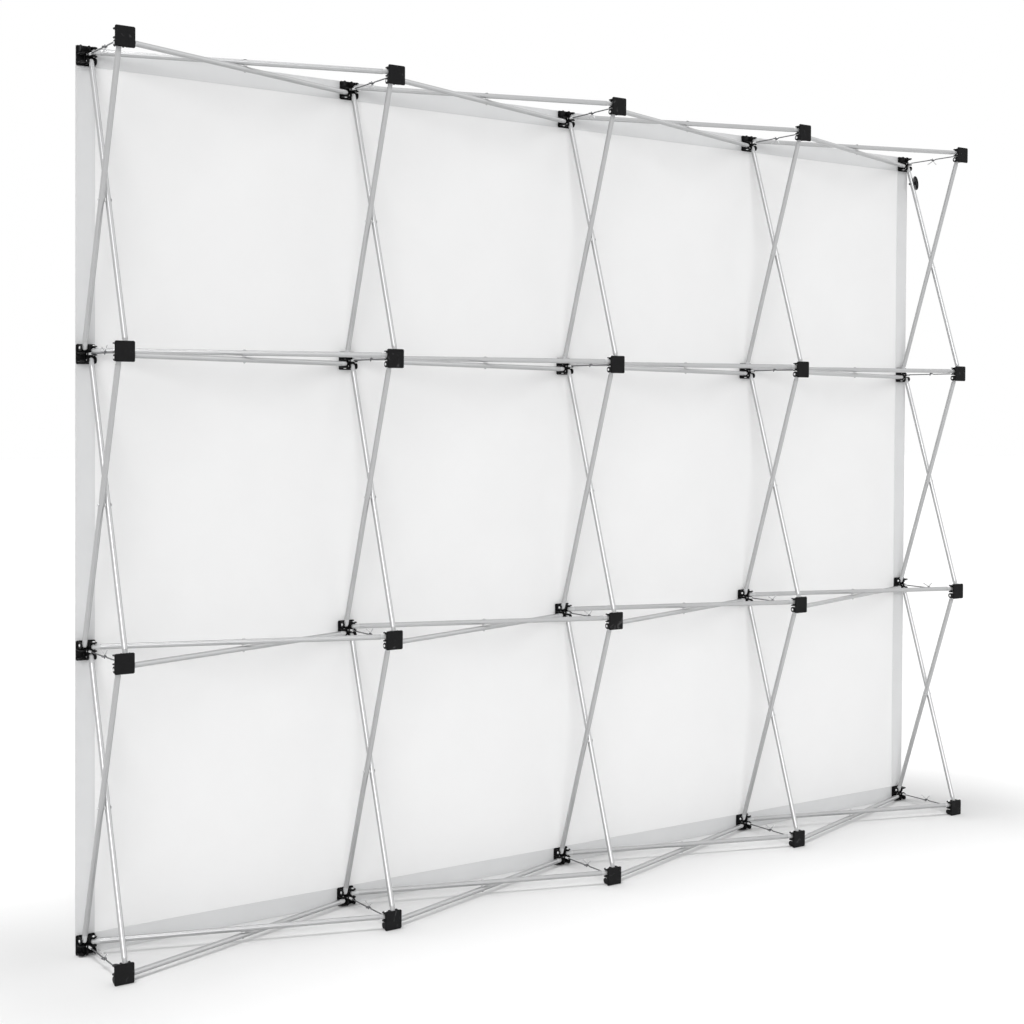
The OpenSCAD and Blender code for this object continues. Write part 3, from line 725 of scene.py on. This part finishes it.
def arm_root():
    """The eye on the cross pin, and the ferrule with its two crimps, turned about X."""
    half, r, edge = EYE_HALF, EYE_R, EYE_EDGE
    eye = lathe([(EYE_BORE_R, -half), (r - edge, -half), (r, edge - half), (r, half - edge),
                 (r - edge, half), (EYE_BORE_R, half)], 20, ring=True)
    start, end, r, edge = 0.0075, 0.0195, FERRULE_R, EYE_EDGE
    crimps = [(r, 0.0105), (CRIMP_R, 0.0111), (CRIMP_R, 0.0121), (r, 0.0127),
              (r, 0.0143), (CRIMP_R, 0.0149), (CRIMP_R, 0.0159), (r, 0.0165)]
    ferrule = [(FERRULE_BORE_R, start), (r - edge, start), (r, start + edge), *crimps,
               (r, end - edge), (r - edge, end), (FERRULE_BORE_R, end)]
    return gather(eye, lathe(ferrule, 18, axis="X", ring=True, finish=1))


def hook_shape():
    """Rod, step up over the ring, hook and peg in one wire, and the wide V of the grip on the hook."""
    rise = HOOK_X - RISE_BACK
    rod = wire(eased([(ROD_START, 0), (rise, 0), (rise + 2 * HOOK_LIFT, HOOK_LIFT), (HOOK_X, HOOK_LIFT),
                      (HOOK_X, -PEG_L + ROD_R)], BEND_R), ROD_R)
    fore, foot, aft = (GRIP_FORE, GRIP_H * 0.7), (-0.004, 0.001), (-GRIP_AFT, GRIP_H)
    grip = wire(eased(np.array([fore, foot, aft]) + (HOOK_X, HOOK_LIFT), BEND_R), GRIP_R,
                round_start=True, finish=2)
    return gather(arm_root(), rod, grip)


def eye_shape():
    """Rod, and a closed ring that lies level: a circle of wire round Y."""
    rod = wire([(ROD_START, 0), (ROD_MID, 0), (RING_X - RING_MID, 0)], ROD_R)
    a = np.arange(WIRE_SIDES) * TAU / WIRE_SIDES
    ring = lathe(np.c_[RING_MID + RING_R * np.cos(a), RING_R * np.sin(a)], 28, ring=True)
    return gather(arm_root(), rod, moved(ring, place((RING_X, 0, 0), turn("X", 90))))


def on_lock_pin(hub, j):
    """A lock arm's frame: X along the lock and Z along the cross pin, the other way up in the top row."""
    return within(hub, place((0, LOCK_IN, 0), turn("Y", 180 if j == ROWS else 0), UPRIGHT))


lock_steel = plated_steel("lock_steel_dark", (0.10, 0.102, 0.108), (0.19, 0.192, 0.198), (0.28, 0.42),
                          metallic=0.8)
ferrule_bright = plated_steel("ferrule_bright", (0.80, 0.805, 0.81), (0.90, 0.905, 0.91), (0.25, 0.38),
                              metallic=0.4)
grip_zinc = plated_steel("grip_zinc", (0.52, 0.525, 0.53), (0.64, 0.645, 0.65), (0.28, 0.42),
                         metallic=0.6)
HOOK, EYE = hook_shape(), eye_shape()
for i, j in CELLS:
    tag = f"c{i + 1}r{j + 1}"
    make_piece("hook_lock_" + tag, HOOK, [on_lock_pin(at_back_hub(i, j), j)], "hook_arm_" + tag,
               "hook_arm_" + tag, [lock_steel, ferrule_bright, grip_zinc])
    make_piece("eye_lock_" + tag, EYE, [on_lock_pin(at_front_hub(i, j), j)], "eye_arm_" + tag,
               "eye_arm_" + tag, [lock_steel, ferrule_bright])

# The cross pins, headed on one side of the post and riveted over on the other
r, flat, head_r, tail_r = 0.0012, POST_FLAT, 0.00216, 0.0018
tail = [(0, -flat - 0.0006), (tail_r - 0.0002, -flat - 0.0006), (tail_r, -flat - 0.0004), (tail_r, -flat)]
head = [(head_r, flat), (head_r, flat + 0.0006), (head_r - 0.00036, flat + 0.0008), (0, flat + 0.0008)]
cross_pin = lathe([*tail, (r, -flat), (r, flat), *head], 14)
cross_places = [within(at(i, j), place((0, LOCK_IN, 0), turn("Y", 90)))
                for at in (at_back_hub, at_front_hub) for i, j in CELLS]
make_piece("lock_cross_pins", cross_pin, cross_places, "frame", "lock_pins",
           [bright_steel])

# ---- Fabric and its border -------------------------------------------------------------------------
# One piece of white stretch polyester, 3.010 m wide and 2.269 m high, with light grey loop tape 50 mm
# wide sewn round the edge of its back by two rows of stitches. The front hubs' pads hold the tape.
WALL_W = COLUMN_X[-1] - COLUMN_X[0] + PLATE_W
WALL_H = LEVEL_Z[-1] - LEVEL_Z[0] + PLATE_W
X_MID = (COLUMN_X[0] + COLUMN_X[-1]) / 2
BORDER_W, SEAM, CLOTH_LIFT, CLOTH_T = 0.050, 0.0005, 0.001, 0.0008
PUCKER, PAD_HOLD, BORDER_STEP = 0.0005, 0.045, 0.0125
SWELL, SWAY, SWELL_RISE, CLOTH_STEP = 0.0011, 0.0004, 0.3, 0.025
STITCH_IN, STITCH_HALF, STITCH_PITCH, STITCH_SHARE = 0.004, 0.0005, 0.004, 0.75
Y_PAD = Y_FRONT + PAD_T
Y_CLOTH = Y_PAD + TAPE_T


def ripple(x, z):
    """Soft puckers, as sewing leaves them: three slanting waves of different lengths, from 0 to 1."""
    wave = (np.sin(61 * x + 13 * z + 1.3 * np.sin(7 * z)) + np.sin(23 * x - 47 * z + 0.9 * np.sin(5 * x))
            + 0.7 * np.sin(97 * x + 71 * z))
    return 0.5 + wave / 5.4


def near_hub(x, z, reach):
    """1 at a hub's centre and 0 beyond a distance, smoothly between."""
    gap = np.full(np.shape(x), 9.0)
    for i, j in CELLS:
        gap = np.minimum(gap, np.maximum(abs(x - COLUMN_X[i]), abs(z - LEVEL_Z[j])))
    t = np.clip(1 - gap / reach, 0, 1)
    return t * t * (3 - 2 * t)


def flat_cloth(x0, x1, z0, z1, back, front, step):
    """A closed sheet over a rectangle: back(x, z) and front(x, z) are its two faces' places along Y."""
    nx, nz = max(2, round((x1 - x0) / step) + 1), max(2, round((z1 - z0) / step) + 1)
    x, z = np.meshgrid(np.linspace(x0, x1, nx), np.linspace(z0, z1, nz), indexing="ij")
    faces = grid_faces(nx, nz, wrap_columns=False)
    sides = [np.stack([x, f(x, z), z], -1).reshape(-1, 3) for f in (back, front)]
    n = nx * nz
    rim = np.concatenate([np.arange(nx) * nz, (nx - 1) * nz + np.arange(1, nz),
                          np.arange(nx - 2, -1, -1) * nz + nz - 1, np.arange(nz - 2, 0, -1)])
    after = np.roll(rim, -1)
    edge = np.stack([rim, after, after + n, rim + n], -1)
    return shape(np.concatenate(sides), np.concatenate([faces, faces[:, ::-1] + n, edge]))


def border_back(x, z):
    """The tape's visible face: the pads' height less the pucker, which fades out at the pads."""
    return Y_PAD - PUCKER * ripple(x, z) * (1 - near_hub(x, z, PAD_HOLD)) + 0 * x


def border_front(x, _z):
    """The tape's sewn face lies flat on the fabric."""
    return Y_CLOTH + 0 * x


x_left, x_right = X_MID - WALL_W / 2, X_MID + WALL_W / 2
z_low, z_high = CLOTH_LIFT, WALL_H
strips = [(x_left, x_left + BORDER_W, z_low, z_high), (x_right - BORDER_W, x_right, z_low, z_high),
          (x_left + BORDER_W + SEAM, x_right - BORDER_W - SEAM, z_low, z_low + BORDER_W - CLOTH_LIFT),
          (x_left + BORDER_W + SEAM, x_right - BORDER_W - SEAM, z_high - BORDER_W, z_high)]


def sewn_edge(tree, at):
    """1 on a stitch, 0 off it: dashes 3 mm long and 1 mm apart, 4 mm inside each edge of the tape."""
    split = new_node(tree, "ShaderNodeSeparateXYZ")
    tree.links.new(at, split.inputs[0])
    found = 0.0
    lines = [(0, x, 2) for x in (x_left, x_left + BORDER_W, x_right - BORDER_W, x_right)]
    lines += [(2, z, 0) for z in (z_low, z_low + BORDER_W, z_high - BORDER_W, z_high)]
    for k, (across, edge, along) in enumerate(lines):
        line = edge + (STITCH_IN if k % 2 == 0 else -STITCH_IN)
        off = math_node(tree, "ABSOLUTE", math_node(tree, "SUBTRACT", split.outputs[across], line))
        row = math_node(tree, "LESS_THAN", off, STITCH_HALF)
        beat = math_node(tree, "FRACT", math_node(tree, "DIVIDE", split.outputs[along], STITCH_PITCH))
        dash = math_node(tree, "LESS_THAN", beat, STITCH_SHARE)
        found = math_node(tree, "MAXIMUM", found, math_node(tree, "MULTIPLY", row, dash))
    return found


def loop_tape():
    """Brushed loops: a tangled noise in the height, broad faint patches in the colour, and two rows of
    stitches that stand up from it."""
    material, tree, shader = new_finish("loop_tape_grey", Roughness=0.9, Sheen_Weight=0.15)
    at = new_node(tree, "ShaderNodeTexCoord").outputs["Object"]
    loops = pattern(tree, "Noise", at, Scale=1300.0, Detail=3.0, Distortion=0.8)
    patch = pattern(tree, "Noise", at, Scale=9.0, Detail=3.0)
    ground = mixed(tree, patch, (0.71, 0.715, 0.72), (0.78, 0.785, 0.79))
    stitches = sewn_edge(tree, at)
    tree.links.new(mixed(tree, stitches, ground, (0.80, 0.80, 0.80)), shader.inputs["Base Color"])
    raised(tree, shader, math_node(tree, "MULTIPLY_ADD", stitches, 1.5, loops), 0.00015)
    return material


border = make_piece("loop_border_tape",
                    gather(*[flat_cloth(*s, border_back, border_front, BORDER_STEP) for s in strips]),
                    [UNMOVED], "frame", "loop_border", [loop_tape()])


def cloth_swell(x, z):
    """Between the hubs the fabric stands forward by up to 1.5 mm: a level swell plus a slow wave, which
    fade out over 0.3 m towards the edges and the hubs."""
    inside = 1
    for gap in (x - x_left, x_right - x, z - z_low, z_high - z):
        inside = inside * np.clip(gap / SWELL_RISE, 0, 1)
    wave = SWELL + SWAY * np.sin(9 * x + 4 * z) * np.sin(6 * z)
    return inside * (1 - near_hub(x, z, SWELL_RISE)) * wave


def woven_white():
    """Fine plain weave: two sets of threads 1 mm apart raise the surface where both peak, and a slow
    noise gives its white a faint slub."""
    material, tree, shader = new_finish("graphic_white", Roughness=0.85, Sheen_Weight=0.08)
    at = new_node(tree, "ShaderNodeTexCoord").outputs["Object"]
    warp, weft = (pattern(tree, "Wave", at, bands_direction=way, Scale=320.0, Distortion=0.3)
                  for way in "XZ")
    slub = pattern(tree, "Noise", at, Scale=7.0, Detail=3.0)
    tree.links.new(mixed(tree, slub, (0.915, 0.915, 0.915), (0.945, 0.945, 0.945)),
                   shader.inputs["Base Color"])
    raised(tree, shader, math_node(tree, "MULTIPLY", warp, weft), 0.00004, 0.6)
    return material


cloth = make_piece("graphic_fabric_sheet",
                   flat_cloth(x_left, x_right, z_low, z_high, lambda x, z: Y_CLOTH + cloth_swell(x, z),
                              lambda x, z: Y_CLOTH + CLOTH_T + cloth_swell(x, z), CLOTH_STEP),
                   [UNMOVED], "frame", "graphic_cloth", [woven_white()])

# ---- Strap button ----------------------------------------------------------------------------------
# A dished black plastic button on a short boss is bolted through the last upright tube, below the top
# front hub. The bolt's head lies in the dish, and its nut is on the other side of the tube.
BUTTON_R, BUTTON_DISH, BUTTON_TOP, BUTTON_FLOOR, BUTTON_CROWN = 0.0245, 0.0185, 0.009, 0.0055, 0.0018
BOSS_R, BOSS_H, BOLT_R, BOLT_HEAD_R, BOLT_DOME_H = 0.006, 0.003, 0.002, 0.004, 0.0022
NUT_R, NUT_H = 0.004, 0.0032
BUTTON_DOWN, BUTTON_ROLL = 0.058, -32
BUTTON_PLACE = within(on_upright_b(BAYS, ROWS - 1),
                      place((SPAN - BUTTON_DOWN, 0, 0), turn("X", BUTTON_ROLL)))


def button_shape():
    """A profile turned about Z: bolt hole, boss, underside, round rim and dish."""
    hole, rim_r, dish, low = BOLT_R + 0.00005, (BUTTON_R - BUTTON_DISH) / 2, BUTTON_DISH, BUTTON_FLOOR
    boss = [(hole, 0), (BOSS_R - 0.0003, 0), (BOSS_R, 0.0003), (BOSS_R, BOSS_H), (dish, BOSS_H)]
    crown = [(dish + rim_r + rim_r * math.cos(t), BUTTON_TOP - BUTTON_CROWN + BUTTON_CROWN * math.sin(t))
             for t in np.linspace(0, TAU / 2, 9)]
    return lathe([*boss, (BUTTON_R - 0.001, low - 0.0008), (BUTTON_R, low + 0.0005), *crown,
                  (dish - 0.0012, low + 0.0008), (dish - 0.003, low), (0.0052, low), (hole, low)],
                 48, ring=True)


button_finish = moulded_finish("button_black", (0.006, 0.006, 0.007), (0.010, 0.010, 0.011),
                               (0.04, 0.04, 0.042), roughness=(0.22, 0.34), grain=500.0, depth=0.00001)
make_piece("strap_button_dished", moved(button_shape(), place((0, 0, TUBE_D / 2))), [BUTTON_PLACE],
           "frame", "strap_button", [button_finish])


def bolt_shape():
    """Profiles turned about Z: domed head in the dish, shank through the tube, and a six-sided nut."""
    seat, top, low, r = TUBE_D / 2 + BUTTON_FLOOR, -TUBE_D / 2, -TUBE_D / 2 - NUT_H, BOLT_R
    end, edge = low - 0.0006, 0.0002
    dome = [(BOLT_HEAD_R * math.cos(t), seat + BOLT_DOME_H * math.sin(t))
            for t in np.linspace(0.2, 1, 4)[:-1] * TAU / 4]
    bolt = lathe([(0, end), (r - edge, end), (r, end + edge), (r, seat), (BOLT_HEAD_R, seat), *dome,
                  (0, seat + BOLT_DOME_H)], 20)
    nut = lathe([(r, low), (NUT_R - 2 * edge, low), (NUT_R, low + 2 * edge), (NUT_R, top), (r, top)],
                6, ring=True)
    return gather(bolt, nut)


black_steel = plated_steel("steel_black", (0.03, 0.03, 0.032), (0.07, 0.07, 0.072), (0.35, 0.5),
                           metallic=0.6)
make_piece("strap_button_bolt", bolt_shape(), [BUTTON_PLACE], "frame", "button_bolt",
           [black_steel])
